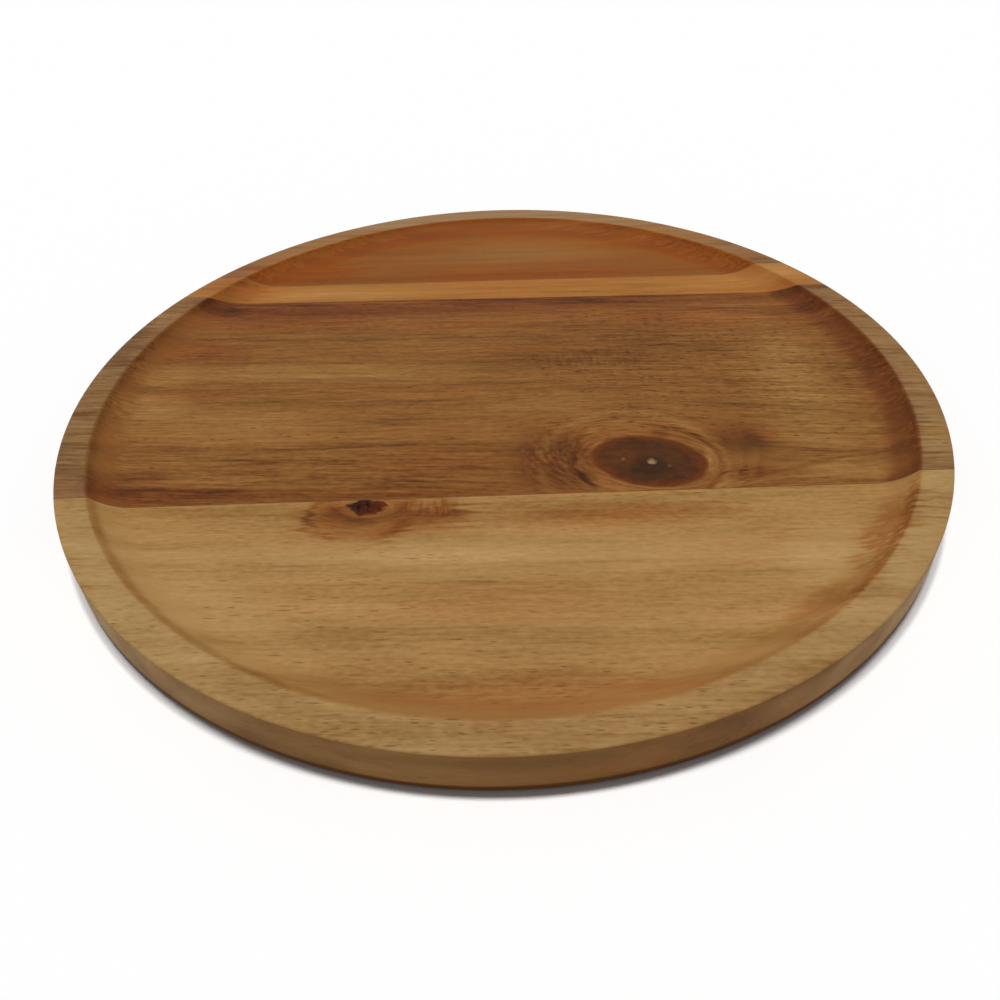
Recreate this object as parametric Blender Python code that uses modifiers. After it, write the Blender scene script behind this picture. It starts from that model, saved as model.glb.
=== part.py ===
"""Round appetizer plate, turned from an edge-glued acacia blank.

Four staves lie side by side with a glue film in each joint, and one turned profile
shapes them all. Lengths are in metres and +Z is up. X runs along the grain and Y runs
across the staves, from the front of the plate to its back. The origin is the centre of
the underside.
"""

import math

import bmesh
import bpy

MM = 0.001

# The turned profile
PLATE_DIAMETER = 200 * MM
PLATE_THICKNESS = 10.5 * MM
RIM_WIDTH = 6.8 * MM
RECESS_DEPTH = 3.2 * MM
COVE_RADIUS = 10 * MM
TOP_EDGE_RADIUS = 0.6 * MM
FOOT_EDGE_RADIUS = 1.2 * MM

# Stave widths at the height of the plate's floor, on the line across the grain through its centre.
# The middle stave takes what the other three leave.
FRONT_STAVE_WIDTH = 63.75 * MM
STRIP_STAVE_WIDTH = 10.5 * MM
BACK_STAVE_WIDTH = 41.9 * MM

# From left to right over the plate's diameter, the joint behind the strip comes this much nearer
# to the front, and the strip gains this much width.
BACK_JOINT_LEAN = 3 * MM
STRIP_TAPER = 2.1 * MM

# From the plate's floor up to its rim, the joint in front of the strip comes this much nearer to the front.
STRIP_JOINT_RAKE = 2 * MM

# Each glue film, with the clearance between it and the stave on either side
GLUE_THICKNESS = 0.2 * MM
GLUE_CLEARANCE = 0.05 * MM

# Facets
TURN_STEPS = 144
COVE_STEPS = 6
EDGE_STEPS = 3
MERGE_DISTANCE = 0.01 * MM

# How far the uncut boards reach past the turned profile
SAWN_MARGIN = 5 * MM

# Wood and glue: colour as sRGB out of 255, and roughness
PALE_ACACIA = ((157, 122, 76), 0.5)
BROWN_ACACIA = ((127, 85, 48), 0.5)
AMBER_ACACIA = ((163, 110, 61), 0.5)
RED_ACACIA = ((134, 78, 42), 0.5)
CURED_GLUE = ((112, 74, 40), 0.35)

PLATE_RADIUS = PLATE_DIAMETER / 2
FLOOR_HEIGHT = PLATE_THICKNESS - RECESS_DEPTH
JOINT_GAP = GLUE_THICKNESS + 2 * GLUE_CLEARANCE


class Seam:
    """The middle of a glued joint, a flat face: slope is its run in y along x, and rake its run in y with height."""

    def __init__(self, middle, slope=0.0, rake=0.0):
        self.middle = middle
        self.slope = slope
        self.rake = rake

    def shifted(self, distance):
        return Seam(self.middle + distance, self.slope, self.rake)

    def y_at(self, x, z):
        return self.middle + self.slope * x + self.rake * (z - FLOOR_HEIGHT)


FRONT_SEAM = Seam(FRONT_STAVE_WIDTH - PLATE_RADIUS)
STRIP_BACK_SEAM = Seam(PLATE_RADIUS - BACK_STAVE_WIDTH, -BACK_JOINT_LEAN / PLATE_DIAMETER)
STRIP_FRONT_SEAM = Seam(
    STRIP_BACK_SEAM.middle - STRIP_STAVE_WIDTH,
    STRIP_BACK_SEAM.slope - STRIP_TAPER / PLATE_DIAMETER,
    -STRIP_JOINT_RAKE / RECESS_DEPTH,
)
FRONT_EDGE = Seam(-PLATE_RADIUS - SAWN_MARGIN)
BACK_EDGE = Seam(PLATE_RADIUS + SAWN_MARGIN)


def linear(level):
    """One sRGB level out of 255 as a linear value."""
    share = level / 255
    if share <= 0.04045:
        return share / 12.92
    return ((share + 0.055) / 1.055) ** 2.4


def make_material(name, colour, roughness):
    material = bpy.data.materials.new(name)
    material.use_nodes = True
    shader = material.node_tree.nodes["Principled BSDF"]
    shader.inputs["Base Color"].default_value = (*[linear(level) for level in colour], 1.0)
    shader.inputs["Roughness"].default_value = roughness
    shader.inputs["Metallic"].default_value = 0.0
    return material


def arc(centre, radius, start, end, steps):
    """Points on an arc in the profile's plane, angles in degrees from the radial direction."""
    points = []
    for step in range(steps + 1):
        angle = math.radians(start + (end - start) * step / steps)
        points.append((centre[0] + radius * math.cos(angle), centre[1] + radius * math.sin(angle)))
    return points


def cove_arc():
    """The hollow curve from the flat floor up to the rim: it leaves the floor level."""
    turn = math.degrees(math.acos(max(0.0, 1 - RECESS_DEPTH / COVE_RADIUS)))
    floor_radius = PLATE_RADIUS - RIM_WIDTH - COVE_RADIUS * math.sin(math.radians(turn))
    centre = (floor_radius, FLOOR_HEIGHT + COVE_RADIUS)
    return arc(centre, COVE_RADIUS, -90, turn - 90, COVE_STEPS)


def turned_profile():
    """(radius, height) points from the middle of the floor, over the rim, to the middle of the foot."""
    top_centre = (PLATE_RADIUS - TOP_EDGE_RADIUS, PLATE_THICKNESS - TOP_EDGE_RADIUS)
    foot_centre = (PLATE_RADIUS - FOOT_EDGE_RADIUS, FOOT_EDGE_RADIUS)
    points = [(0.0, FLOOR_HEIGHT)]
    points += cove_arc()
    if RECESS_DEPTH > COVE_RADIUS:
        points.append((PLATE_RADIUS - RIM_WIDTH, PLATE_THICKNESS))
    points += arc(top_centre, TOP_EDGE_RADIUS, 90, 0, EDGE_STEPS)
    points += arc(foot_centre, FOOT_EDGE_RADIUS, 0, -90, EDGE_STEPS)
    points.append((0.0, 0.0))
    return points


def make_turned_blank(collection):
    """The whole plate as one turned shape, kept as the cutter that shapes every stave."""
    points = turned_profile()
    mesh = bpy.data.meshes.new("turned_blank")
    edges = [(index, index + 1) for index in range(len(points) - 1)]
    mesh.from_pydata([(radius, 0.0, height) for radius, height in points], edges, [])
    blank = bpy.data.objects.new("turned_blank", mesh)
    collection.objects.link(blank)
    screw = blank.modifiers.new("turn", "SCREW")
    screw.axis = "Z"
    screw.steps = TURN_STEPS
    screw.render_steps = TURN_STEPS
    screw.use_merge_vertices = True
    screw.merge_threshold = MERGE_DISTANCE
    screw.use_smooth_shade = True
    blank.hide_render = True
    blank.display_type = "WIRE"
    return blank


def make_board(name, front, back):
    """A sawn board between two edge lines, longer and thicker than the finished plate."""
    middle = (front.middle + back.middle) / 2
    half_length = PLATE_RADIUS + SAWN_MARGIN
    shape = bmesh.new()
    bmesh.ops.create_cube(shape, size=1.0)
    for corner in shape.verts:
        edge = back if corner.co.y > 0 else front
        corner.co.x = math.copysign(half_length, corner.co.x)
        corner.co.z = PLATE_THICKNESS + SAWN_MARGIN if corner.co.z > 0 else -SAWN_MARGIN
        corner.co.y = edge.y_at(corner.co.x, corner.co.z) - middle
    mesh = bpy.data.meshes.new(name)
    shape.to_mesh(mesh)
    shape.free()
    board = bpy.data.objects.new(name, mesh)
    board.location.y = middle
    return board


def make_piece(name, front, back, material, blank, collection, parent):
    """A stave or a glue film: a board turned down to the blank's shape."""
    piece = make_board(name, front, back)
    collection.objects.link(piece)
    piece.parent = parent
    piece.data.materials.append(material)
    turning = piece.modifiers.new("turned shape", "BOOLEAN")
    turning.operation = "INTERSECT"
    turning.solver = "EXACT"
    turning.object = blank
    return piece


def make_stave(name, front, back, look, *place):
    """A stave stops half a joint short of the seams at its edges."""
    material = make_material(name + "_wood", *look)
    return make_piece(name, front.shifted(JOINT_GAP / 2), back.shifted(-JOINT_GAP / 2), material, *place)


def make_glue_line(name, seam, material, *place):
    """The cured film in the middle of a joint."""
    return make_piece(
        name, seam.shifted(-GLUE_THICKNESS / 2), seam.shifted(GLUE_THICKNESS / 2), material, *place
    )


def new_collection(name):
    collection = bpy.data.collections.new(name)
    bpy.context.scene.collection.children.link(collection)
    return collection


def main():
    for old in list(bpy.data.objects):
        bpy.data.objects.remove(old, do_unlink=True)

    plate = new_collection("appetizer_plate")
    cutters = new_collection("cutters")
    blank = make_turned_blank(cutters)
    centre = bpy.data.objects.new("plate_centre", None)
    plate.objects.link(centre)
    place = (blank, plate, centre)

    make_stave("front_stave", FRONT_EDGE, FRONT_SEAM, PALE_ACACIA, *place)
    make_stave("middle_stave", FRONT_SEAM, STRIP_FRONT_SEAM, BROWN_ACACIA, *place)
    make_stave("strip_stave", STRIP_FRONT_SEAM, STRIP_BACK_SEAM, AMBER_ACACIA, *place)
    make_stave("back_stave", STRIP_BACK_SEAM, BACK_EDGE, RED_ACACIA, *place)

    glue = make_material("cured_glue", *CURED_GLUE)
    make_glue_line("front_glue_line", FRONT_SEAM, glue, *place)
    make_glue_line("strip_front_glue_line", STRIP_FRONT_SEAM, glue, *place)
    make_glue_line("strip_back_glue_line", STRIP_BACK_SEAM, glue, *place)


main()
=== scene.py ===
"""Looks of the round acacia plate: dense turned staves, solid wood grain, floor, light and camera.

The plate's frame is the CAD's: metres, +Z up, X along the grain, Y across the staves from front
to back. Places on the wood are written in millimetres from the middle of the plate.
"""

import math
from collections import namedtuple
from dataclasses import dataclass, field

import bmesh
import bpy
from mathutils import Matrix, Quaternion, Vector, noise


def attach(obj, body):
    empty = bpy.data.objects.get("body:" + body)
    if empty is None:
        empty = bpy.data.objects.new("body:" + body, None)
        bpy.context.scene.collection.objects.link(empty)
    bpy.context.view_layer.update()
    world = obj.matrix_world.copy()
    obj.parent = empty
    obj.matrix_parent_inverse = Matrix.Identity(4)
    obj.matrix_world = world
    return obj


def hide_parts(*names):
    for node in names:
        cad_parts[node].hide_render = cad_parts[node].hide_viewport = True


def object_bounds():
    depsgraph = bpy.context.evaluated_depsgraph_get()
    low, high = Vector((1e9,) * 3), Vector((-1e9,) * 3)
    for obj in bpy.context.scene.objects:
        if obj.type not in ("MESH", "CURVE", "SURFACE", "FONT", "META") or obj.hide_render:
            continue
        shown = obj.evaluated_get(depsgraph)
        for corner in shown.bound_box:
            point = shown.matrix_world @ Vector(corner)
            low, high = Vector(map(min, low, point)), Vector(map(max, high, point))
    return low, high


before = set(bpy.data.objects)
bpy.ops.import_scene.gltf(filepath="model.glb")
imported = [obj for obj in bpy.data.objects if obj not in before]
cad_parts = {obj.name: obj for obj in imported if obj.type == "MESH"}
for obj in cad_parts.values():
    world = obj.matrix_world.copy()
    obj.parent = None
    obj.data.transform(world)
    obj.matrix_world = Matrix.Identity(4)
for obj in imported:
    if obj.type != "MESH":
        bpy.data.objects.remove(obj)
cad_low, cad_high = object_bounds()

MM = 0.001

# The turned profile, as in the CAD
PLATE_RADIUS = (cad_high.x - cad_low.x) / 2
PLATE_THICKNESS = cad_high.z - cad_low.z
RIM_WIDTH = 6.8 * MM
RECESS_DEPTH = 3.2 * MM
COVE_RADIUS = 10 * MM
TOP_EDGE_EASE = 0.6 * MM
RIM_INNER_EASE = 0.25 * MM
FOOT_EDGE_EASE = 1.2 * MM

RIM_INNER_RADIUS = PLATE_RADIUS - RIM_WIDTH
FLOOR_HEIGHT = PLATE_THICKNESS - RECESS_DEPTH
COVE_TURN = math.acos(1 - RECESS_DEPTH / COVE_RADIUS)
FLOOR_RADIUS = RIM_INNER_RADIUS - COVE_RADIUS * math.sin(COVE_TURN)

# Mesh density
TURN_STEPS = 480
RING_STEP = 2 * MM
MIDDLE_DISC = 10 * MM
COVE_STEPS = 14
EASE_STEPS = 4
SIDE_STEPS = 5
SMOOTH_ANGLE = math.radians(35)
CUT_TOLERANCE = 0.0001 * MM

# Camera, from the circles and seams of the photograph
LOOK_AT = Vector((-0.66 * MM, -41.3 * MM, PLATE_THICKNESS))
CAMERA_DISTANCE = 176.8 * MM
CAMERA_ELEVATION = math.radians(41.56)
CAMERA_AZIMUTH = math.radians(0.39)
CAMERA_ROLL = math.radians(-2.14)
CAMERA_LENS = 31.5
CAMERA_CLIP = 1 * MM

# A flat face in a joint: a point on it and its direction towards the back of the plate
Seam = namedtuple("Seam", "point backward")


# Turned shape

def eased_corner(before, corner, after, steps=EASE_STEPS):
    """A small round between two straight runs of the profile."""
    points = []
    for step in range(steps + 1):
        t = step / steps
        weights = ((1 - t) ** 2, 2 * t * (1 - t), t ** 2)
        corners = (before, corner, after)
        points.append(tuple(sum(w * p[axis] for w, p in zip(weights, corners)) for axis in (0, 1)))
    return points


def rings(start, end, step):
    """Evenly spaced radii from start to end, both included."""
    count = max(1, round(abs(end - start) / step))
    return [start + (end - start) * index / count for index in range(count + 1)]


def turned_profile():
    """(radius, height) points from the floor's middle disc, over the rim, to the foot's middle disc."""
    top = PLATE_THICKNESS
    points = [(radius, FLOOR_HEIGHT) for radius in rings(MIDDLE_DISC, FLOOR_RADIUS, RING_STEP)]
    ease_turn = COVE_TURN - RIM_INNER_EASE / COVE_RADIUS
    for step in range(1, COVE_STEPS + 1):
        turn = ease_turn * step / COVE_STEPS
        height = FLOOR_HEIGHT + COVE_RADIUS * (1 - math.cos(turn))
        points.append((FLOOR_RADIUS + COVE_RADIUS * math.sin(turn), height))
    inner = (RIM_INNER_RADIUS, top)
    points += eased_corner(points.pop(), inner, (RIM_INNER_RADIUS + RIM_INNER_EASE, top))
    outer_start = PLATE_RADIUS - TOP_EDGE_EASE
    points += [(radius, top) for radius in rings(points.pop()[0], outer_start, RING_STEP)[:-1]]
    points += eased_corner((outer_start, top), (PLATE_RADIUS, top), (PLATE_RADIUS, top - TOP_EDGE_EASE))
    side = rings(top - TOP_EDGE_EASE, FOOT_EDGE_EASE, (top - TOP_EDGE_EASE) / SIDE_STEPS)
    points += [(PLATE_RADIUS, height) for height in side[1:-1]]
    foot_radius = PLATE_RADIUS - FOOT_EDGE_EASE
    points += eased_corner((PLATE_RADIUS, FOOT_EDGE_EASE), (PLATE_RADIUS, 0), (foot_radius, 0))
    points += [(radius, 0.0) for radius in rings(foot_radius, MIDDLE_DISC, RING_STEP)[1:]]
    return points


def turned_mesh():
    """The whole plate as one closed turned mesh, with flat discs in the middle of its floor and foot."""
    profile = turned_profile()
    shape = bmesh.new()
    loops = []
    for radius, height in profile:
        loop = []
        for step in range(TURN_STEPS):
            angle = 2 * math.pi * step / TURN_STEPS
            loop.append(shape.verts.new((radius * math.cos(angle), radius * math.sin(angle), height)))
        loops.append(loop)
    for upper, lower in zip(loops, loops[1:]):
        for step in range(TURN_STEPS):
            after = (step + 1) % TURN_STEPS
            shape.faces.new((upper[step], lower[step], lower[after], upper[after]))
    shape.faces.new(loops[0])
    shape.faces.new(list(reversed(loops[-1])))
    mesh = bpy.data.meshes.new("turned")
    shape.to_mesh(mesh)
    shape.free()
    return mesh


def film_faces(node):
    """The front and back faces of a glue film in the CAD, as seams."""
    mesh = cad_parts[node].data
    seams = []
    for side in (-1, 1):
        widest = max(mesh.polygons, key=lambda face: face.area * face.normal.y * side)
        seams.append(Seam(mesh.vertices[widest.vertices[0]].co.copy(), widest.normal * side))
    return seams


def cut_at(shape, seam, keep_back):
    """Saws the mesh along a seam, keeps one side and closes it."""
    bmesh.ops.bisect_plane(
        shape,
        geom=list(shape.verts) + list(shape.edges) + list(shape.faces),
        dist=CUT_TOLERANCE,
        plane_co=seam.point,
        plane_no=seam.backward,
        clear_inner=keep_back,
        clear_outer=not keep_back,
    )
    bmesh.ops.holes_fill(shape, edges=[edge for edge in shape.edges if edge.is_boundary])


def make_slice(name, body_mesh, front, back, pits=()):
    """The part of the turned plate between two seams, as a new object."""
    shape = bmesh.new()
    shape.from_mesh(body_mesh)
    if front:
        cut_at(shape, front, keep_back=True)
    if back:
        cut_at(shape, back, keep_back=False)
    for pit in pits:
        sink(shape, pit)
    mesh = bpy.data.meshes.new(name)
    shape.to_mesh(mesh)
    shape.free()
    mesh.shade_smooth()
    mesh.set_sharp_from_angle(angle=SMOOTH_ANGLE)
    piece = bpy.data.objects.new(name, mesh)
    bpy.context.scene.collection.objects.link(piece)
    return piece


# Open pits in the knots: middle, half-lengths and depth in millimetres, tilt in degrees

Pit = namedtuple("Pit", "x y half_length half_width tilt depth")

PIT_MARGIN = 1.6
PIT_CUTS = 3
PIT_ROUNDS = 2
PIT_RAGGED = 0.35
PIT_WALL = 2.2
PIT_GRAIN = 0.8 * MM
ON_FLOOR = 0.01 * MM

SMALL_KNOT_PITS = [Pit(-28.9, -38.5, 1.6, 1.2, 60, 0.6), Pit(-25.8, -39.6, 1.3, 0.6, -10, 0.3)]
BIG_KNOT_PITS = [Pit(32.5, -26.6, 1.2, 1.3, 0, 0.25)]


def pit_distance(pit, point):
    """How far a point is from a pit's middle, 1 being the pit's edge."""
    turn = math.radians(pit.tilt)
    dx = point.x / MM - pit.x
    dy = point.y / MM - pit.y
    along = (dx * math.cos(turn) + dy * math.sin(turn)) / pit.half_length
    across = (dy * math.cos(turn) - dx * math.sin(turn)) / pit.half_width
    return math.hypot(along, across)


def on_floor(point):
    return abs(point.z - FLOOR_HEIGHT) < ON_FLOOR


def sink(shape, pit):
    """Refines the floor round a pit and presses the pit into it, with a ragged edge."""
    reach = 1 + PIT_MARGIN / min(pit.half_length, pit.half_width)
    for _ in range(PIT_ROUNDS):
        near = [
            edge
            for edge in shape.edges
            if all(on_floor(v.co) and pit_distance(pit, v.co) < reach for v in edge.verts)
        ]
        bmesh.ops.subdivide_edges(shape, edges=near, cuts=PIT_CUTS, use_grid_fill=True)
        reach = 1 + (reach - 1) / 2
    for vertex in shape.verts:
        if not on_floor(vertex.co):
            continue
        ragged = noise.noise(vertex.co / PIT_GRAIN) * PIT_RAGGED
        distance = pit_distance(pit, vertex.co) + ragged
        if distance < 1:
            vertex.co.z -= pit.depth * MM * min(1.0, PIT_WALL * (1 - distance))


# Node arithmetic

LINE_DETAIL = 2.0

# Sockets of a Mix node for colours
MIX_SHARE = 0
MIX_FIRST = 6
MIX_SECOND = 7
MIX_RESULT = 2


class Value:
    """A number or a vector over the surface: a node's output, with arithmetic for numbers."""

    def __init__(self, graph, socket):
        self.graph = graph
        self.socket = socket

    def __add__(self, other):
        return self.graph.math("ADD", self, other)

    def __sub__(self, other):
        return self.graph.math("SUBTRACT", self, other)

    def __rsub__(self, other):
        return self.graph.math("SUBTRACT", other, self)

    def __mul__(self, other):
        return self.graph.math("MULTIPLY", self, other)

    def __truediv__(self, other):
        return self.graph.math("DIVIDE", self, other)

    __radd__ = __add__


class Graph:
    """A material's node tree, with a short method for each kind of node that the looks use."""

    def __init__(self, name):
        self.material = bpy.data.materials.new(name)
        self.material.use_nodes = True
        self.tree = self.material.node_tree
        self.shader = self.tree.nodes["Principled BSDF"]

    def node(self, kind, **settings):
        made = self.tree.nodes.new(kind)
        for name, value in settings.items():
            setattr(made, name, value)
        return made

    def feed(self, socket, value):
        """Links a Value to a socket, or sets a plain number or colour on it."""
        if isinstance(value, Value):
            self.tree.links.new(value.socket, socket)
        else:
            socket.default_value = value

    def math(self, operation, *values):
        made = self.node("ShaderNodeMath", operation=operation)
        for socket, value in zip(made.inputs, values):
            self.feed(socket, value)
        return Value(self, made.outputs[0])

    def split(self, vector):
        made = self.node("ShaderNodeSeparateXYZ")
        self.feed(made.inputs[0], vector)
        return [Value(self, output) for output in made.outputs]

    def vector(self, *parts):
        made = self.node("ShaderNodeCombineXYZ")
        for socket, value in zip(made.inputs, parts):
            self.feed(socket, value)
        return Value(self, made.outputs[0])

    def position(self):
        """x, y and z in millimetres."""
        place = Value(self, self.node("ShaderNodeTexCoord").outputs["Object"])
        return [part * (1 / MM) for part in self.split(place)]

    def normal(self):
        return self.split(Value(self, self.node("ShaderNodeNewGeometry").outputs["Normal"]))

    def local(self, place, x, y, half_length, half_width, tilt=0.0):
        """A place in plan as seen from an ellipse: along and across it, 1 being its edge."""
        made = self.node("ShaderNodeMapping", vector_type="TEXTURE")
        self.feed(made.inputs["Vector"], place)
        made.inputs["Location"].default_value = (x, y, 0)
        made.inputs["Rotation"].default_value = (0, 0, math.radians(tilt))
        made.inputs["Scale"].default_value = (half_length, half_width, 1)
        return Value(self, made.outputs[0])

    def length(self, vector):
        made = self.node("ShaderNodeVectorMath", operation="LENGTH")
        self.feed(made.inputs[0], vector)
        return Value(self, made.outputs["Value"])

    def step(self, value, low, high):
        """0 below low, 1 above high and smooth between. With low above high it falls instead."""
        made = self.node("ShaderNodeMapRange", interpolation_type="SMOOTHSTEP")
        bounds = (low, high, 0.0, 1.0) if low < high else (high, low, 1.0, 0.0)
        for socket, part in zip(made.inputs, (value, *bounds)):
            self.feed(socket, part)
        return Value(self, made.outputs[0])

    def bell(self, value, middle, half_width):
        """1 at the middle, falling smoothly to 0 at the half width."""
        return self.step(self.math("ABSOLUTE", value - middle), half_width, 0.0)

    def noise(self, place, detail=1.0):
        """Soft noise with features of about one unit, from -1 to 1."""
        made = self.node("ShaderNodeTexNoise", normalize=False)
        self.feed(made.inputs["Vector"], place)
        made.inputs["Scale"].default_value = 1.0
        made.inputs["Detail"].default_value = detail
        return Value(self, made.outputs[0])

    def line_noise(self, place, roughness=0.5):
        """As noise, along one number."""
        made = self.node("ShaderNodeTexNoise", noise_dimensions="1D", normalize=False)
        self.feed(made.inputs["W"], place)
        made.inputs["Scale"].default_value = 1.0
        made.inputs["Detail"].default_value = LINE_DETAIL
        made.inputs["Roughness"].default_value = roughness
        return Value(self, made.outputs[0])

    def cells(self, place):
        """Distance to the nearest of points scattered one to a unit, and two numbers of that point."""
        made = self.node("ShaderNodeTexVoronoi", feature="F1")
        self.feed(made.inputs["Vector"], place)
        made.inputs["Scale"].default_value = 1.0
        split = self.node("ShaderNodeSeparateColor")
        self.tree.links.new(made.outputs["Color"], split.inputs[0])
        return [Value(self, output) for output in (made.outputs["Distance"], *split.outputs[:2])]

    def ramp(self, value, colours):
        """Evenly spaced colours, dark to pale, picked by a value from 0 to 1."""
        made = self.node("ShaderNodeValToRGB")
        stops = made.color_ramp.elements
        while len(stops) < len(colours):
            stops.new(1.0)
        for index, colour in enumerate(colours):
            stops[index].position = index / (len(colours) - 1)
            stops[index].color = linear_colour(colour)
        self.feed(made.inputs[0], value)
        return Value(self, made.outputs[0])

    def mix(self, share, first, second, blend="MIX"):
        made = self.node("ShaderNodeMix", data_type="RGBA", blend_type=blend)
        self.feed(made.inputs[MIX_SHARE], share)
        self.feed(made.inputs[MIX_FIRST], first)
        self.feed(made.inputs[MIX_SECOND], second)
        return Value(self, made.outputs[MIX_RESULT])

    def bump(self, height, distance, strength):
        made = self.node("ShaderNodeBump")
        self.feed(made.inputs["Height"], height)
        made.inputs["Distance"].default_value = distance
        made.inputs["Strength"].default_value = strength
        self.tree.links.new(made.outputs[0], self.shader.inputs["Normal"])


def linear_colour(colour):
    """An sRGB colour out of 255 as linear RGBA."""
    shares = [level / 255 for level in colour]
    parts = [s / 12.92 if s <= 0.04045 else ((s + 0.055) / 1.055) ** 2.4 for s in shares]
    return (*parts, 1.0)


# Wood. Tone runs from 0, dark, to 1, pale, and warmth from 0, olive, to 1, red-brown.
# Each feature is placed in millimetres on the plate, seen from above, and tilts are in degrees.

Patch = namedtuple("Patch", "x y half_length half_width tone warmth tilt", defaults=(0.0,))
Area = namedtuple("Area", "x y half_length half_width amount")
Arc = namedtuple("Arc", "x y half_length half_width thickness tone warmth side", defaults=(0,))
Knot = namedtuple("Knot", "x y half_length half_width tilt rings reach ring_strength")
KnotView = namedtuple("KnotView", "knot along across distance")
Speck = namedtuple("Speck", "x y radius strength")

# Grain layers, from flecks to bands: length along the grain and width across it
GRAIN_LAYERS = [(2.0, 0.8), (6.0, 0.4), (16.0, 0.9), (42.0, 2.2), (70.0, 7.0)]

# How the lanes of the grain wander and part round the knots, and how the year rings lean
SWAY_LENGTH = 70
SWAY_WIDTH = 25
LANE_SWAY = 0.4
KNOT_FLOW = 0.85
RING_LEAN = 0.6
RING_ROUGHNESS = 0.6

# How far the grain pulls the edges of marks about, and the share of that left beside a knot
STREAK_PULL = 0.8
DASH_PULL = 0.5
DASH_DRIFT = 5
CALM_START = 1.2
CALM_REACH = 2
CALM_SHARE = 0.15

# The uneven outline of a knot: size of its bumps along, across and down, and how far they stand out
OUTLINE_BUMPS = (6, 6, 14)
OUTLINE_UNEVEN = 0.05

# Where marks fade, 1 being their edge, and where an arc that keeps to one side fades
MARK_FADE = (1.0, 0.2)
ARC_SIDE_FADE = (-0.1, 0.5)

# Borders of the zones: slopes of the surface, and millimetres from the rim, the wall or the middle
FACES_UP = (0.2, 0.5)
FACES_OUT = (0.6, 0.3)
FACES_ALONG_GRAIN = (0.1, 0.8)
RIM_BORDER = (0.1, 0.9)
# The lip zone is painted shade: a thin darker band just inside the rim's inner edge
LIP_SHADE_BORDER = (-2, -0.4)
COVE_BORDER = 4
# The foot zone is painted shade: it darkens the bottom of the side as the contact shadow would
FOOT_SHADE_BORDER = (-1, -0.5)
FOOT_SHADE_HEIGHTS = (2.2, 1.2)
RIM_END_BORDER = (58, 76)
LEFT_BORDER = (-15, -60)
RIGHT_COVE_BORDER = (0, 60)
RIGHT_LIP_SHADE_BORDER = (30, 65)

# How much the grain layers shift the warmth, the wear and painted sheen of the rim and the crowding of the
# pores
DASH_WARMTH = 0.3
STREAK_WARMTH = 0.5
BAND_WARMTH = 0.7
DASH_WEAR_AND_SHEEN = 0.5
STREAK_WEAR_AND_SHEEN = 0.7
BAND_CROWD = 0.15
STREAK_CROWD = 0.1

# What burnishing takes from the grain and from the pores
BURNISH_FADE = 0.7
BURNISH_CROWD = 0.25

# Ripples across the grain, the halo round a knot and the curl beside it
RIPPLE_LENGTH = 0.8
RIPPLE_WIDTH = 4
RIPPLE_DEPTH = 5
HALO_DISTANCE = 1.15
HALO_WIDTH = 0.35
HALO_TONE = 0.05
HALO_WARMTH = 0.3
CURL_TURNS = 11
CURL_BREAKS = 5
CURL_DEPTH = 6

# Pores: where one starts, how deep the faintest is and where its edge fades
PORE_CHANCE = (1.0, 1.05)
PORE_LEAST = 0.3
PORE_FADE = (0.45, 0.12)
PORE_SHADE = (0.4, 0.32, 0.24, 1.0)

# Finish
WARMTH_RANGE = (-0.2, 1.2)
# Pale grey of rim wear, and of the painted sheen on the back rim
WEAR_AND_SHEEN_COLOUR = (150, 128, 98)
ROUGHNESS = 0.6
PORE_ROUGHNESS = 0.15
HAIR_ROUGHNESS = 0.06
SPECULAR = 0.085
HAIR_RELIEF = 0.3
DASH_RELIEF = 0.2
RELIEF_DEPTH = 0.05 * MM
RELIEF_STRENGTH = 0.3

STRIP_TILT = -1.2


@dataclass
class Wood:
    """What sets one stave's wood apart from the next."""

    name: str
    olive: list
    warm: list
    seed: float
    slope: float = 0.0
    tone: float = 0.5
    warmth: float = 0.5
    fleck: float = 0.05
    hair: float = 0.1
    dash: float = 0.1
    streak: float = 0.1
    band: float = 0.1
    hue: float = 0.5
    rim_gain: float = 0.0
    rim_wear_and_sheen: float = 0.25
    ring_spacing: float = 4.0
    ring_strength: float = 0.06
    pore_cells: list = field(default_factory=lambda: [(2.4, 0.42), (4.5, 0.55)])
    pore_share: float = 0.2
    pore_depth: float = 0.5
    zones: dict = field(default_factory=dict)
    patches: list = field(default_factory=list)
    arcs: list = field(default_factory=list)
    painted_sheen_areas: list = field(default_factory=list)
    figured: list = field(default_factory=list)
    pored: list = field(default_factory=list)
    rippled: list = field(default_factory=list)
    whorled: list = field(default_factory=list)
    knots: list = field(default_factory=list)


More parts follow.
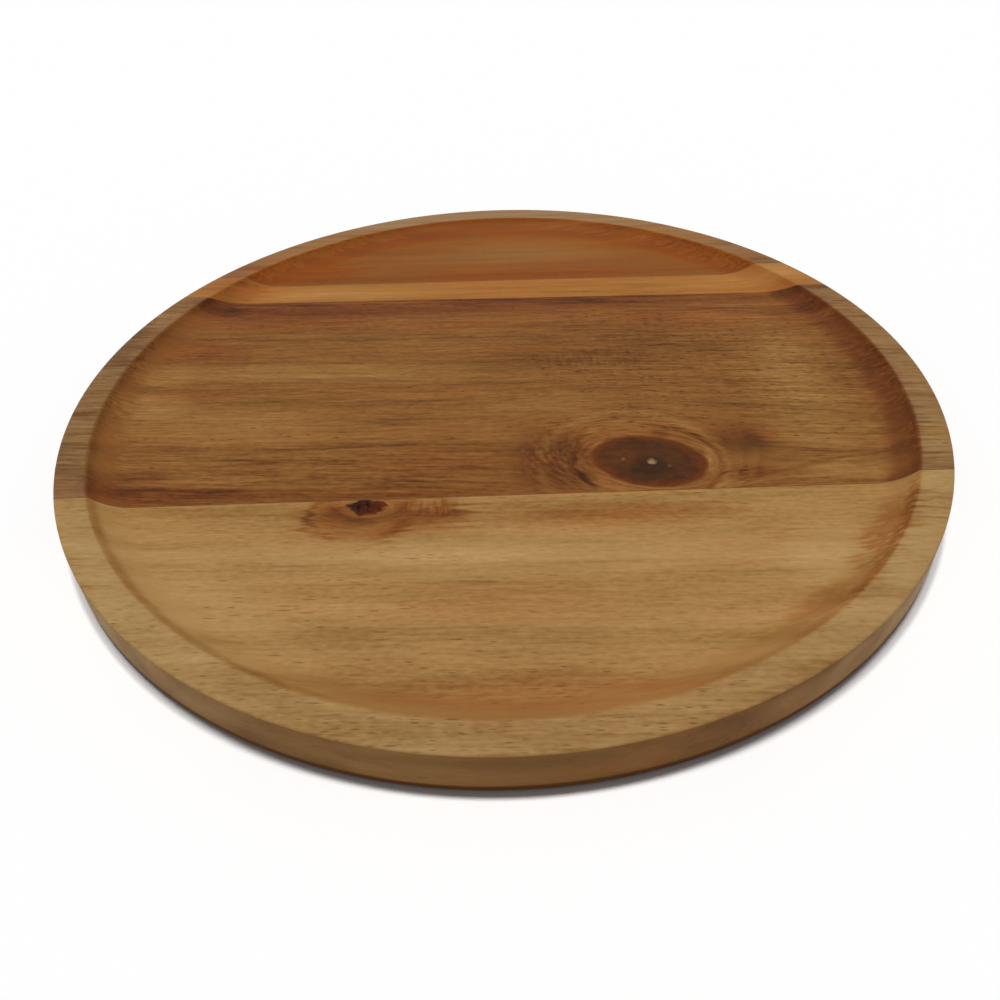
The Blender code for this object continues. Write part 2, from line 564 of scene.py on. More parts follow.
class Site:
    """A point of the wood, as nodes: its place, its lane of the grain, its zones and grain layers."""

    def __init__(self, graph, wood):
        self.graph = graph
        self.x, self.y, self.z = graph.position()
        self.plan = graph.vector(self.x, self.y, 0.0)
        self.knots = [self.knot_view(knot) for knot, _ in wood.knots]
        self.lane = self.grain_lane(wood)
        self.zones = turned_zones(graph, self.x, self.y, self.z)
        self.fleck, self.hair, self.dash, self.streak, self.band = [
            self.along_grain(length, width, wood.seed) for length, width in GRAIN_LAYERS
        ]
        ragged = self.raggedness()
        streaky_x = self.dash * DASH_DRIFT * ragged + self.x
        streaky_y = (self.streak * STREAK_PULL + self.dash * DASH_PULL) * ragged + self.y
        self.streaky = graph.vector(streaky_x, streaky_y, 0.0)

    def along_grain(self, length, width, seed):
        place = self.graph.vector(self.x / length, self.lane / width + seed, self.z / width)
        return self.graph.noise(place)

    def scaled(self, sizes, shift=0.0):
        """The place in units of a size along x, y and z, with a shift to tell one noise from another."""
        length, width, depth = sizes
        return self.graph.vector(self.x / length, self.y / width, self.z / depth + shift)

    def raggedness(self):
        """How streaky the edges of marks are here: little beside a knot, fully elsewhere."""
        ragged = 1.0
        for view in self.knots:
            away = self.graph.step(view.distance, CALM_START, view.knot.reach + CALM_REACH)
            ragged = (away * (1 - CALM_SHARE) + CALM_SHARE) * ragged
        return ragged

    def knot_view(self, knot):
        """The point as seen from a knot with an uneven outline: along it, across it and its distance."""
        place = self.graph.local(self.plan, *knot[:5])
        along, across, _ = self.graph.split(place)
        uneven = self.graph.noise(self.scaled(OUTLINE_BUMPS))
        return KnotView(knot, along, across, self.graph.length(place) + uneven * OUTLINE_UNEVEN)

    def grain_lane(self, wood):
        """The lane of the grain that the point lies in: lanes wander and part round the knots."""
        across = self.y / SWAY_WIDTH + wood.seed
        sway = self.graph.noise(self.graph.vector(self.x / SWAY_LENGTH, across, self.z / SWAY_WIDTH))
        lane = self.y - self.x * wood.slope + sway * LANE_SWAY
        for view in self.knots:
            spread = self.graph.math("MAXIMUM", view.distance * view.distance, 1.0)
            lane = lane - (self.y - view.knot.y) * KNOT_FLOW / spread
        return lane


def turned_zones(graph, x, y, z):
    """Where a point is on the turned shape, from 0 to 1 for each zone."""
    radius = graph.math("SQRT", x * x + y * y)
    normal_x, _, normal_z = graph.normal()
    edge = RIM_INNER_RADIUS / MM
    foot = FLOOR_RADIUS / MM
    outer = PLATE_RADIUS / MM
    upward = graph.step(normal_z, *FACES_UP)
    rim = graph.step(radius, *from_radius(edge, RIM_BORDER)) * upward
    inside = upward - rim
    cove = graph.step(radius, foot, foot + COVE_BORDER) * inside
    # Painted shade: a thin band at the top of the cove, where the rim shades it
    lip_shade = graph.step(radius, *from_radius(edge, LIP_SHADE_BORDER)) * inside
    # Painted shade in part: the woods darken this zone, for shade on the upright side and for its browner
    # turned wood
    side = graph.step(graph.math("ABSOLUTE", normal_z), *FACES_OUT)
    # Painted shade: low on the side near the outer edge, where the contact shadow would darken it
    low = graph.step(z, *FOOT_SHADE_HEIGHTS)
    return {
        "rim": rim,
        "rim_ends": rim * graph.step(graph.math("ABSOLUTE", x), *RIM_END_BORDER),
        "cove": cove,
        "cove_left": cove * graph.step(x, *LEFT_BORDER),
        "cove_right": cove * graph.step(x, *RIGHT_COVE_BORDER),
        "lip_shade_left": lip_shade * graph.step(x, *LEFT_BORDER),
        "lip_shade_right": lip_shade * graph.step(x, *RIGHT_LIP_SHADE_BORDER),
        "side": side,
        "foot": low * graph.step(radius, *from_radius(outer, FOOT_SHADE_BORDER)),
        "end_grain": graph.step(graph.math("ABSOLUTE", normal_x), *FACES_ALONG_GRAIN),
    }


def from_radius(radius, border):
    """A border given as distances from a radius, as two radii."""
    return [radius + distance for distance in border]


def area_sum(graph, place, areas):
    """How far a point lies in any of the areas, times their amounts."""
    total = 0.0
    for area in areas:
        distance = graph.length(graph.local(place, *area[:4]))
        total = graph.step(distance, *MARK_FADE) * area.amount + total
    return total


def patch_shares(graph, place, patches):
    """Each patch with how far a point lies in it."""
    for patch in patches:
        distance = graph.length(graph.local(place, *patch[:4], patch.tilt))
        yield patch, graph.step(distance, *MARK_FADE)


def arc_shares(graph, place, arcs):
    """Each arc with how near a point lies to its line. An arc may keep to its right or left side."""
    for arc in arcs:
        local = graph.local(place, *arc[:4])
        share = graph.bell(graph.length(local), 1.0, arc.thickness)
        if arc.side:
            share = share * graph.step(graph.split(local)[0] * arc.side, *ARC_SIDE_FADE)
        yield arc, share


def year_rings(site, wood):
    """Darker and paler growth, which closes into arcs round the knots."""
    ring = (site.lane + site.z * RING_LEAN) / wood.ring_spacing + wood.seed
    strength = wood.ring_strength
    for view in site.knots:
        collar = site.graph.step(view.distance, view.knot.reach, 1.0)
        ring = ring + collar * view.knot.rings
        strength = collar * view.knot.ring_strength + strength
    return site.graph.line_noise(ring, roughness=RING_ROUGHNESS) * strength


def burnished(site):
    """Where the lathe tool rubbed the grain faint."""
    return site.graph.math("MAXIMUM", site.zones["cove"], site.zones["side"])


def grain(site, wood):
    """Tone and warmth of the plain grain: strong where the wood is figured, faint where burnished."""
    gain = area_sum(site.graph, site.plan, wood.figured) + 1.0 + site.zones["rim"] * wood.rim_gain
    gain = gain * (1.0 - burnished(site) * BURNISH_FADE)
    fine = site.fleck * wood.fleck + site.hair * wood.hair + site.dash * wood.dash
    tone = (fine + site.streak * wood.streak) * gain + site.band * wood.band
    tone = tone + year_rings(site, wood) + wood.tone
    shift = site.dash * DASH_WARMTH + site.streak * STREAK_WARMTH + site.band * BAND_WARMTH
    warmth = shift * wood.hue + wood.warmth
    return tone, warmth


def marked(site, wood, tone, warmth):
    """Tone and warmth with the patches and arcs, which have streaky edges, and the turned zones."""
    marks = list(patch_shares(site.graph, site.streaky, wood.patches))
    marks += arc_shares(site.graph, site.streaky, wood.arcs)
    shifts = [(share, mark.tone, mark.warmth) for mark, share in marks]
    shifts += [(site.zones[zone], *shift) for zone, shift in wood.zones.items()]
    for share, tone_shift, warmth_shift in shifts:
        if tone_shift:
            tone = share * tone_shift + tone
        if warmth_shift:
            warmth = share * warmth_shift + warmth
    return tone, warmth


def whorled(site, wood, tone, warmth):
    """Tone and warmth with the curl of the grain: ripples across it, and collars round the knots."""
    graph = site.graph
    if wood.rippled:
        waves = graph.vector(site.x / RIPPLE_LENGTH, site.lane / RIPPLE_WIDTH, site.z / RIPPLE_DEPTH)
        tone = tone + graph.noise(waves) * area_sum(graph, site.plan, wood.rippled)
    for view in site.knots:
        halo = graph.bell(view.distance, HALO_DISTANCE, HALO_WIDTH)
        tone = tone + halo * HALO_TONE
        warmth = warmth + halo * HALO_WARMTH
        if wood.whorled:
            turns = view.distance * CURL_TURNS
            curl = graph.noise(graph.vector(turns, view.across * CURL_BREAKS, site.z / CURL_DEPTH))
            tone = tone + curl * area_sum(graph, site.plan, wood.whorled)
    return tone, warmth


def pores(site, wood):
    """Open pores: dashes along the grain, which show as dots on the end grain."""
    graph = site.graph
    crowd = site.band * BAND_CROWD + site.streak * STREAK_CROWD
    crowd = crowd - burnished(site) * BURNISH_CROWD + wood.pore_share
    share = area_sum(graph, site.streaky, wood.pored) + crowd
    total = 0.0
    for length, width in wood.pore_cells:
        place = graph.vector(site.x / length, site.lane / width + wood.seed, site.z / width)
        distance, chance, depth = graph.cells(place)
        chosen = graph.step(chance + share, *PORE_CHANCE) * (depth * (1 - PORE_LEAST) + PORE_LEAST)
        total = graph.math("MAXIMUM", graph.step(distance, *PORE_FADE) * chosen, total)
    return total


def heart_knot(site, view, colour):
    """A tight knot: a dark heart with rings and rays, a red edge and a few pale specks."""
    graph = site.graph
    distance = view.distance
    around = [part / distance * HEART_RAYS for part in (view.along, view.across)]
    rays = graph.noise(graph.vector(*around, distance * HEART_RAY_BREAKS), detail=2.0)
    heart_rings = graph.line_noise(distance * HEART_RINGS + rays * HEART_RING_SWAY)
    mottle = graph.noise(site.scaled(HEART_MOTTLE), detail=2.0)
    figure = rays * HEART_RAY_TONE + heart_rings * HEART_RING_TONE + mottle * HEART_MOTTLE_TONE
    tone = area_sum(graph, site.plan, HEART_SHADES) + figure + HEART_TONE
    heart = graph.ramp(tone, HEART_COLOURS)
    red = graph.step(distance + mottle * RED_EDGE_UNEVEN, *RED_EDGE)
    heart = graph.mix(red * RED_EDGE_SHARE, heart, linear_colour(RED_EDGE_COLOUR))
    for speck in HEART_SPECKS:
        reach = graph.length(graph.local(site.plan, speck.x, speck.y, speck.radius, speck.radius))
        uneven = reach + mottle * SPECK_UNEVEN
        shade = graph.step(uneven, *SPECK_SHADE) * speck.strength * SPECK_SHADE_SHARE
        heart = graph.mix(shade, heart, linear_colour(SPECK_SHADE_COLOUR))
        pale = graph.step(uneven, *SPECK_EDGE) * speck.strength
        heart = graph.mix(pale, heart, linear_colour(SPECK_COLOUR))
    outline = graph.bell(distance, 1.0, KNOT_LINE_WIDTH)
    colour = graph.mix(outline * KNOT_LINE_SHARE, colour, linear_colour(KNOT_LINE_COLOUR))
    return graph.mix(graph.step(distance, *HEART_EDGE), colour, heart)


def bark_knot(site, view, colour):
    """A small knot with loose dark bark in its middle and a ragged outline."""
    graph = site.graph
    ragged = graph.noise(site.scaled(BARK_RAGGED_SIZE, 3))
    mottle = graph.noise(site.scaled(BARK_MOTTLE_SIZE, 5), detail=2.0)
    paler = view.along * BARK_ALONG - view.across * BARK_ACROSS
    bark = graph.ramp(mottle * BARK_MOTTLE + paler + BARK_TONE, BARK_COLOURS)
    core = graph.step(view.distance + ragged * BARK_RAGGED, *BARK_EDGE)
    return graph.mix(core, colour, bark)


def wood_material(wood):
    """Solid wood: grain, patches, curls and knots set the tone and warmth that pick the colour."""
    graph = Graph(wood.name)
    site = Site(graph, wood)
    tone, warmth = grain(site, wood)
    tone, warmth = marked(site, wood, tone, warmth)
    tone, warmth = whorled(site, wood, tone, warmth)
    picked = graph.step(warmth, *WARMTH_RANGE)
    colour = graph.mix(picked, graph.ramp(tone, wood.olive), graph.ramp(tone, wood.warm))
    # The rim mixes towards pale grey: wear, and on the back rim painted sheen for the reflection at
    # grazing angles
    rim_wear_and_sheen = area_sum(graph, site.plan, wood.painted_sheen_areas) + wood.rim_wear_and_sheen
    wear_and_sheen_share = (site.dash * DASH_WEAR_AND_SHEEN + site.streak * STREAK_WEAR_AND_SHEEN + 1.0) * rim_wear_and_sheen
    colour = graph.mix(site.zones["rim"] * wear_and_sheen_share, colour, linear_colour(WEAR_AND_SHEEN_COLOUR))
    pore = pores(site, wood)
    colour = graph.mix(pore * wood.pore_depth, colour, PORE_SHADE, "MULTIPLY")
    for view, (_, look) in zip(site.knots, wood.knots):
        colour = look(site, view, colour)

    graph.feed(graph.shader.inputs["Base Color"], colour)
    roughness = pore * PORE_ROUGHNESS + site.hair * HAIR_ROUGHNESS + ROUGHNESS
    graph.feed(graph.shader.inputs["Roughness"], roughness)
    graph.shader.inputs["Specular IOR Level"].default_value = SPECULAR
    relief = site.hair * HAIR_RELIEF + site.dash * DASH_RELIEF - pore
    graph.bump(relief, RELIEF_DEPTH, RELIEF_STRENGTH)
    return graph.material


BIG_KNOT = Knot(32.0, -26.3, 12.4, 8.6, -15, 5.0, 2.4, 0.04)
SMALL_KNOT = Knot(-28.2, -38.7, 4.2, 2.7, -6, 2.5, 4.0, 0.06)

# The large knot's heart: its tone with the share of rays, rings and mottle, and their sizes
HEART_TONE = 0.46
HEART_RAY_TONE = 0.06
HEART_RING_TONE = 0.12
HEART_MOTTLE_TONE = 0.16
HEART_RAYS = 4
HEART_RAY_BREAKS = 1.5
HEART_RINGS = 5
HEART_RING_SWAY = 0.4
HEART_MOTTLE = (2.4, 1.6, 2.5)
HEART_EDGE = (1.02, 0.95)
HEART_COLOURS = [(36, 18, 0), (54, 28, 4), (74, 38, 10), (90, 48, 18), (114, 72, 38)]
HEART_SHADES = [
    Area(31.8, -28.6, 7, 5, -0.3),
    Area(25, -25, 7, 6, 0.16),
    Area(39, -26, 5, 5, 0.05),
    Area(29, -20, 6, 2.5, -0.06),
]
HEART_SPECKS = [
    Speck(32.5, -26.6, 1.15, 0.8),
    Speck(26.4, -25.6, 0.6, 0.25),
    Speck(36.1, -28.3, 0.7, 0.12),
]

# The heart's red edge, the dark line round the knot, and the specks with their dark surround
RED_EDGE = (0.76, 0.97)
RED_EDGE_UNEVEN = 0.1
RED_EDGE_SHARE = 0.7
RED_EDGE_COLOUR = (100, 44, 8)
KNOT_LINE_WIDTH = 0.06
KNOT_LINE_SHARE = 0.4
KNOT_LINE_COLOUR = (84, 42, 10)
SPECK_EDGE = (1.2, 0.4)
SPECK_UNEVEN = 0.3
SPECK_COLOUR = (160, 126, 92)
SPECK_SHADE = (2.4, 1.0)
SPECK_SHADE_SHARE = 0.8
SPECK_SHADE_COLOUR = (46, 28, 6)

# The small knot's bark: paler to its right and its front, with a ragged edge
BARK_TONE = 0.4
BARK_MOTTLE = 0.4
BARK_ALONG = 0.35
BARK_ACROSS = 0.15
BARK_RAGGED = 0.4
BARK_RAGGED_SIZE = (2.2, 1.7, 4)
BARK_MOTTLE_SIZE = (1.3, 1.1, 3)
BARK_EDGE = (1.1, 0.75)
BARK_COLOURS = [(36, 6, 0), (58, 18, 0), (84, 34, 0), (116, 60, 22)]


def front_wood():
    """Pale olive-yellow sapwood with pink streaks, open pores and a small knot at the seam."""
    return Wood(
        name="pale_acacia_wood",
        olive=[(90, 54, 18), (134, 94, 45), (160, 124, 72), (176, 142, 90), (192, 162, 112)],
        warm=[(88, 42, 10), (136, 82, 36), (162, 114, 62), (178, 136, 86), (194, 154, 108)],
        seed=11.3,
        slope=-0.03,
        tone=0.46,
        warmth=0.22,
        fleck=0.1,
        hair=0.075,
        dash=0.09,
        streak=0.05,
        band=0.2,
        hue=0.7,
        rim_gain=0.2,
        rim_wear_and_sheen=0.12,
        ring_spacing=4.5,
        ring_strength=0.03,
        pore_share=0.04,
        pore_depth=0.8,
        zones={
            "rim": (0.04, -0.35),
            "cove": (-0.06, 0.1),
            "cove_left": (0.04, -0.25),
            # Lip zones: painted shade under the rim's inner edge
            "lip_shade_left": (-0.2, -0.1),
            "lip_shade_right": (-0.1, 0.3),
            # Side: darker, partly painted shade on the upright side and partly its browner turned wood
            "side": (-0.15, -0.15),
            # Foot: painted shade, the contact shadow painted along the bottom of the side
            "foot": (-0.6, 0.0),
            # End grain: painted light, the ends of the side made paler and greyer
            "end_grain": (0.08, -0.2),
        },
        patches=[
            Patch(-8, -53.5, 70, 8, 0.14, -0.25),
            Patch(42, -54.5, 34, 8, 0.11, 0.35),
            Patch(0, -66, 34, 8, -0.02, 0.4),
            Patch(24, -43, 34, 4.5, -0.14, 0.6),
            Patch(6, -86.5, 46, 6.5, -0.07, 0.6),
            Patch(74, -53, 25, 5.5, -0.14, 0.7, 55),
            Patch(57, -69, 12, 5, -0.14, 0.2, 40),
            Patch(84, -50.5, 6, 0.9, -0.22, 0.3),
            Patch(-29.5, -40.5, 17, 13, -0.22, 0.5),
            Patch(-35.5, -40, 5, 6, -0.04, 0.8),
            Patch(-39.8, -42.8, 2.8, 2.6, -0.08, 0.3),
            Patch(-30, -43.3, 5.5, 2, -0.1, 0.0),
            Patch(-28.5, -45.2, 5, 1.2, 0.04, -0.1),
            Patch(-23.5, -47.3, 6, 2.2, -0.16, 0.0, 40),
            Patch(-21, -45, 3.5, 3.5, -0.07, 0.4),
            Patch(-15, -41, 11, 9, -0.16, 0.5),
            Patch(-10.5, -39.5, 5, 5, -0.14, 0.2),
            Patch(-15, -41.2, 6, 1.4, -0.1, 0.6),
            Patch(60, -59, 20, 8, 0.13, -0.2),
            Patch(62, -54, 16, 9, 0.1, -0.05, 48),
            Patch(-61, -61, 34, 16, 0.1, -0.2, -45),
            Patch(-42, -74, 16, 8, 0.09, -0.15, -30),
            Patch(-78, -58, 30, 5.5, 0.11, -0.2, -54),
            Patch(-40, -87, 16, 5, -0.12, 0.0, -25),
            Patch(76, -60, 20, 6, 0.12, -0.1, 52),
            Patch(87, -40, 10, 5, 0.1, 0.0, 65),
            Patch(12, -95.5, 58, 8.5, -0.17, 0.05),
            Patch(-4, -91.2, 34, 3, 0.03, -0.1),
            Patch(-24, -98.6, 34, 3, 0.12, 0.0),
            Patch(44, -90, 22, 4, -0.11, 0.1, 26),
        ],
        arcs=[
            Arc(-29.5, -40.5, 10.8, 7.8, 0.16, -0.16, 0.2, -1),
            Arc(-29, -40.5, 8.4, 6.4, 0.3, -0.03, 0.7, 1),
        ],
        figured=[Area(-28, -41, 15, 10, -0.5)],
        pored=[
            Area(-20, -90, 80, 24, 0.22),
            Area(-30, -64, 45, 16, 0.07),
            Area(-60, -75, 40, 20, 0.1),
            Area(40, -39, 30, 4, 0.3),
        ],
        rippled=[Area(-14, -38.5, 9, 5, 0.14)],
        knots=[(SMALL_KNOT, bark_knot)],
    )


def middle_wood():
    """Golden brown heartwood with a large knot."""
    return Wood(
        name="brown_acacia_wood",
        olive=[(52, 28, 4), (98, 58, 20), (130, 90, 42), (151, 113, 60), (170, 134, 80)],
        warm=[(54, 24, 2), (100, 52, 18), (129, 76, 33), (151, 100, 50), (171, 124, 70)],
        seed=3.7,
        slope=-0.05,
        tone=0.47,
        warmth=0.35,
        fleck=0.09,
        hair=0.13,
        dash=0.15,
        streak=0.1,
        band=0.1,
        hue=0.6,
        rim_gain=0.2,
        rim_wear_and_sheen=0.2,
        ring_spacing=4.0,
        ring_strength=0.05,
        pore_cells=[(2.2, 0.8), (4.0, 0.55)],
        pore_share=0.06,
        pore_depth=0.9,
        zones={
            "rim": (-0.03, -0.3),
            "cove": (0.0, 0.25),
            "cove_right": (-0.17, 0.2),
            # Lip zones: painted shade under the rim's inner edge
            "lip_shade_left": (-0.1, -0.4),
            "lip_shade_right": (-0.04, 0.1),
            # Side: darker, partly painted shade on the upright side and partly its browner turned wood
            "side": (-0.15, 0.0),
            # Foot: painted shade, the contact shadow painted along the bottom of the side
            "foot": (-0.5, 0.0),
            "end_grain": (-0.02, 0.0),
        },
        patches=[
            Patch(-45, 12.5, 55, 7, 0.14, -0.2, -3),
            Patch(-62, -8, 36, 11, 0.13, -0.15, -3),
            Patch(-75, 4.5, 16, 5, -0.02, 0.5),
            Patch(-76, 25, 20, 11, -0.06, 0.5),
            Patch(-58, 41, 36, 9, -0.12, 0.7, STRIP_TILT),
            Patch(10, 38, 110, 14, 0.0, 0.4, STRIP_TILT),
            Patch(-10, 45, 130, 5.5, -0.22, 0.5, STRIP_TILT),
            Patch(22, 19, 42, 14, -0.1, 0.0),
            Patch(52, 34, 22, 8, -0.02, 0.5),
            Patch(73, 0, 20, 36, 0.10, -0.35),
            Patch(10, -4, 24, 7, 0.08, -0.1),
            Patch(-75, -33, 30, 5, -0.2, 0.6),
            Patch(-30, -34, 60, 4, -0.1, 0.4),
            Patch(-15, -25, 30, 10, -0.06, 0.3),
            Patch(11.5, -25.5, 13, 18, -0.23, 0.1),
            Patch(14.5, -21, 5, 6, -0.02, -0.2),
            Patch(53, -19.5, 11, 9, -0.22, 0.0, -20),
            Patch(56, -19.5, 3.5, 5, -0.12, 0.0),
            Patch(59.5, -18.5, 2.4, 5, 0.04, 0.8),
            Patch(53, -31.5, 8, 4, -0.15, 0.3),
            Patch(42, -8, 12, 4, 0.05, 0.0, -20),
            Patch(35.7, -17.2, 3.4, 2, -0.2, 0.4, -20),
            Patch(45.3, -26.5, 8, 1.6, 0.15, -0.2, 90),
            Patch(17.8, -32, 5, 1.4, -0.3, 0.3, -57),
            Patch(70, -20, 10, 8, 0.06, -0.1),
            Patch(74, -31, 18, 6, 0.15, -0.1),
            Patch(70, -28.6, 16, 1.2, -0.16, 0.1, 12),
            Patch(97, -5, 6, 40, 0.08, -0.1),
            Patch(94.5, -25, 14, 5, 0.24, 0.1, 75),
            Patch(84, 4, 11, 22, -0.13, 0.0),
            Patch(80, 33, 11, 12, -0.11, 0.1),
            Patch(-82, 0, 12, 9, 0.2, -0.15),
            Patch(-82, 13, 10, 8, 0.1, -0.1),
            Patch(-96, 26, 7, 24, -0.18, 0.0),
            Patch(-97, -24, 6, 20, -0.08, 0.0),
            Patch(-77, 46, 10, 5, -0.15, 0.7),
            Patch(-81, -29.5, 12, 7, -0.13, 0.1),
        ],
        arcs=[
            Arc(28, -27, 20, 18.5, 0.12, 0.13, -0.1),
            Arc(31, -26.5, 15.6, 11.5, 0.07, -0.08, 0.3, -1),
            Arc(30, -27, 17.5, 13.5, 0.08, -0.2, 0.2, 1),
        ],
        figured=[
            Area(-40, -25, 60, 13, 0.3),
            Area(70, 2, 26, 40, 0.4),
            Area(10, -25, 15, 20, -0.7),
            Area(54, -20, 18, 16, -0.8),
        ],
        pored=[
            Area(40, 12, 52, 40, 0.35),
            Area(66, 0, 24, 34, 0.2),
            Area(30, -11, 26, 8, 0.35),
            Area(53, -31.5, 9, 5, 0.35),
        ],
        rippled=[Area(25, 13, 26, 11, 0.1)],
        whorled=[Area(11, -25, 12, 16, 0.15), Area(44, -22, 9, 14, 0.12), Area(30, -25, 28, 24, 0.12)],
        knots=[(BIG_KNOT, heart_knot)],
    )


def strip_wood():
    """Plain orange-tan wood, straight in the grain."""
    return Wood(
        name="amber_acacia_wood",
        olive=[(108, 64, 20), (147, 96, 40), (160, 108, 50), (168, 118, 61), (180, 132, 78)],
        warm=[(108, 54, 14), (147, 86, 34), (160, 99, 44), (168, 110, 54), (180, 125, 68)],
        seed=7.9,
        slope=-0.02,
        tone=0.46,
        fleck=0.08,
        hair=0.14,
        dash=0.2,
        streak=0.2,
        band=0.16,
        hue=0.8,
        rim_wear_and_sheen=0.05,
        ring_spacing=2.6,
        ring_strength=0.1,
        pore_share=0.0,
        pore_depth=0.4,
        zones={
            "rim": (0.0, -0.2),
            "cove": (-0.08, 0.3),
            # Side: darker, partly painted shade on the upright side and partly its browner turned wood
            "side": (-0.25, 0.0),
            # Foot: painted shade, the contact shadow painted along the bottom of the side
            "foot": (-0.5, 0.0),
            "end_grain": (-0.05, 0.1),
        },
        patches=[
            Patch(-45, 52.5, 40, 8, 0.14, -0.5),
            Patch(66, 52.5, 30, 8, 0.16, 0.0),
            Patch(80, 52, 12, 6, 0.24, -0.2),
            Patch(-74, 54.5, 16, 8, -0.24, 0.1),
        ],
    )


def back_wood():
    """Reddish heartwood, more saturated on the wall."""
    return Wood(
        name="red_acacia_wood",
        olive=[(84, 48, 12), (120, 76, 31), (136, 90, 43), (147, 101, 51), (160, 114, 64)],
        warm=[(82, 32, 0), (118, 55, 4), (135, 69, 12), (146, 81, 22), (160, 96, 40)],
        seed=17.1,
        slope=-0.01,
        tone=0.46,
        warmth=0.55,
        fleck=0.06,
        hair=0.06,
        dash=0.1,
        streak=0.14,
        band=0.16,
        hue=0.6,
        rim_gain=0.5,
        rim_wear_and_sheen=0.2,
        ring_spacing=5.0,
        ring_strength=0.06,
        pore_share=0.0,
        pore_depth=0.35,
        zones={
            # Rim: paler and greyer, partly the wood and partly painted sheen for the reflection at grazing
            # angles
            "rim": (0.16, -0.8),
            "rim_ends": (-0.3, 0.4),
            "cove": (0.0, 0.7),
            # Side: darker, partly painted shade on the upright side and partly its browner turned wood
            "side": (-0.1, 0.0),
            # Foot: painted shade, the contact shadow painted along the bottom of the side
            "foot": (-0.5, 0.0),
            "end_grain": (-0.05, 0.1),
        },
        patches=[
            Patch(8, 74, 42, 7, 0.06, -0.6),
            Patch(10, 80, 34, 6, 0.02, -0.4),
            Patch(0, 61, 80, 5, -0.08, 0.3),
            Patch(-55, 66, 22, 10, -0.05, 0.5),
            Patch(-74, 63, 9, 7, 0.0, 0.7),
            Patch(10, 88, 40, 5, 0.12, 0.0),
        ],
        arcs=[Arc(0, 0, 92, 92, 0.02, 0.24, -0.15)],
        # Painted sheen: the back rim mixed paler and greyer, for the reflection at grazing angles
        painted_sheen_areas=[Area(0, 100, 75, 34, 0.3)],
    )


GLUE_MOTTLE = 6
GLUE_DEPTH = 2
GLUE_COLOURS = [(84, 50, 26), (108, 68, 34), (124, 84, 46)]
GLUE_ROUGHNESS = 0.45
GLUE_UNEVEN = 0.1


def glue_material():
    graph = Graph("cured_glue_film")
    x, y, z = graph.position()
    mottle = graph.noise(graph.vector(x / GLUE_MOTTLE, y / GLUE_MOTTLE, z / GLUE_DEPTH)) * 0.5 + 0.5
    graph.feed(graph.shader.inputs["Base Color"], graph.ramp(mottle, GLUE_COLOURS))
    graph.feed(graph.shader.inputs["Roughness"], mottle * GLUE_UNEVEN + GLUE_ROUGHNESS)
    graph.shader.inputs["Specular IOR Level"].default_value = SPECULAR
    return graph.material


# The plate's pieces

FILM_NODES = ("front_glue_line", "strip_front_glue_line", "strip_back_glue_line")


def dress(piece, node, slot, material):
    piece.data.materials.append(material)
    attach(piece, "root")
    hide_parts(node)


def make_plate():
    films = {node: film_faces(node) for node in FILM_NODES}
    front_film, strip_front, strip_back = films.values()
    body = turned_mesh()
    staves = [
        ("front_stave", "pale_acacia", front_wood(), None, front_film[0], SMALL_KNOT_PITS),
        ("middle_stave", "brown_acacia", middle_wood(), front_film[1], strip_front[0], BIG_KNOT_PITS),
        ("strip_stave", "amber_acacia", strip_wood(), strip_front[1], strip_back[0], []),
        ("back_stave", "red_acacia", back_wood(), strip_back[1], None, []),
    ]
    for node, slot, wood, front, back, pits in staves:
        piece = make_slice("turned_" + node, body, front, back, pits)
        dress(piece, node, slot, wood_material(wood))
    glue = glue_material()
    for node, (front, back) in films.items():
        piece = make_slice("turned_" + node, body, front, back)
        dress(piece, node, "cured_glue", glue)
    bpy.data.meshes.remove(body)


# Floor, light and camera

FLOOR_SIZE = 8.0
FLOOR_GAP = 0.02 * MM
FLOOR_COLOUR = (1.0, 1.0, 1.0, 1.0)
FLOOR_ROUGHNESS = 0.9
SUN_STRENGTH = 2.7
SUN_ANGLE = math.radians(6)
SUN_BACK_TILT = math.radians(-6.5)
SUN_SIDE_TILTS = [math.radians(-5.5), math.radians(3.5)]

# The studio's light by the sine of the height above the horizon, and its backdrop as the camera sees it
STUDIO_LEVELS = [(0.0, 0.95), (0.05, 0.5), (0.2, 0.12), (1.0, 0.15)]
BACKDROP_COLOUR = (1.0, 1.0, 1.0, 1.0)


def make_floor():
    mesh = bpy.data.meshes.new("floor")
    shape = bmesh.new()
    bmesh.ops.create_grid(shape, x_segments=1, y_segments=1, size=FLOOR_SIZE / 2)
    shape.to_mesh(mesh)
    shape.free()
    floor = bpy.data.objects.new("floor", mesh)
    floor.location.z = -FLOOR_GAP
    bpy.context.scene.collection.objects.link(floor)
    material = bpy.data.materials.new("pale_floor")
    material.use_nodes = True
    shader = material.node_tree.nodes["Principled BSDF"]
    shader.inputs["Base Color"].default_value = FLOOR_COLOUR
    shader.inputs["Roughness"].default_value = FLOOR_ROUGHNESS
    shader.inputs["Specular IOR Level"].default_value = 0.0
    mesh.materials.append(material)


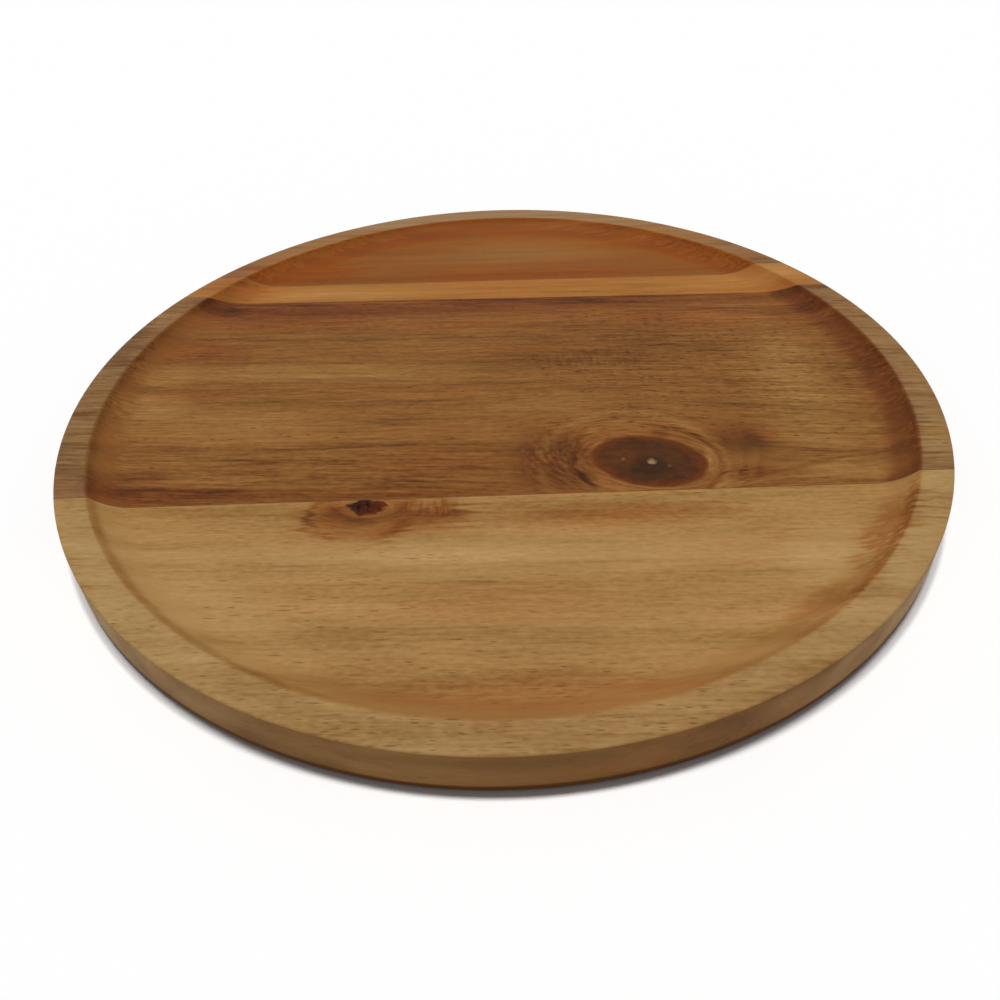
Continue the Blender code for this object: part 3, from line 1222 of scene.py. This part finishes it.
def make_world():
    world = bpy.data.worlds.new("studio")
    world.use_nodes = True
    bpy.context.scene.world = world
    tree = world.node_tree
    direction = tree.nodes.new("ShaderNodeTexCoord")
    split = tree.nodes.new("ShaderNodeSeparateXYZ")
    tree.links.new(direction.outputs["Generated"], split.inputs[0])
    levels = tree.nodes.new("ShaderNodeValToRGB")
    levels.color_ramp.interpolation = "EASE"
    stops = levels.color_ramp.elements
    while len(stops) < len(STUDIO_LEVELS):
        stops.new(1.0)
    for stop, (height, level) in zip(stops, STUDIO_LEVELS):
        stop.position = height
        stop.color = (level, level, level, 1.0)
    tree.links.new(split.outputs[2], levels.inputs[0])
    backdrop = tree.nodes.new("ShaderNodeMix")
    backdrop.data_type = "RGBA"
    tree.links.new(seen_directly(tree), backdrop.inputs[MIX_SHARE])
    tree.links.new(levels.outputs[0], backdrop.inputs[MIX_FIRST])
    backdrop.inputs[MIX_SECOND].default_value = BACKDROP_COLOUR
    tree.links.new(backdrop.outputs[MIX_RESULT], tree.nodes["Background"].inputs["Color"])


def seen_directly(tree):
    """1 for rays that show the backdrop, straight or reflected, and 0 for those that only gather light."""
    path = tree.nodes.new("ShaderNodeLightPath")
    seen = path.outputs["Is Camera Ray"]
    for ray in ("Is Glossy Ray", "Is Transmission Ray"):
        either = tree.nodes.new("ShaderNodeMath")
        either.operation = "MAXIMUM"
        tree.links.new(seen, either.inputs[0])
        tree.links.new(path.outputs[ray], either.inputs[1])
        seen = either.outputs[0]
    return seen


def make_suns():
    """Overhead lamps tilted from behind, one from each side, so that the shadow narrows to the sides."""
    for side_tilt in SUN_SIDE_TILTS:
        lamp = bpy.data.lights.new("overhead", "SUN")
        lamp.energy = SUN_STRENGTH / len(SUN_SIDE_TILTS)
        lamp.angle = SUN_ANGLE
        sun = bpy.data.objects.new("overhead", lamp)
        sun.rotation_euler = (SUN_BACK_TILT, side_tilt, 0)
        bpy.context.scene.collection.objects.link(sun)


def make_camera():
    camera = bpy.data.objects.new("camera", bpy.data.cameras.new("camera"))
    camera.data.lens = CAMERA_LENS
    camera.data.clip_start = CAMERA_CLIP
    level = CAMERA_DISTANCE * math.cos(CAMERA_ELEVATION)
    offset = Vector((level * math.sin(CAMERA_AZIMUTH), -level * math.cos(CAMERA_AZIMUTH), 0))
    offset.z = CAMERA_DISTANCE * math.sin(CAMERA_ELEVATION)
    camera.location = LOOK_AT + offset
    aim = (-offset).to_track_quat("-Z", "Y") @ Quaternion((0, 0, 1), CAMERA_ROLL)
    camera.rotation_mode = "QUATERNION"
    camera.rotation_quaternion = aim
    bpy.context.scene.collection.objects.link(camera)
    bpy.context.scene.camera = camera


make_plate()
make_floor()
make_world()
make_suns()
make_camera()
bpy.context.scene.view_settings.view_transform = "Standard"
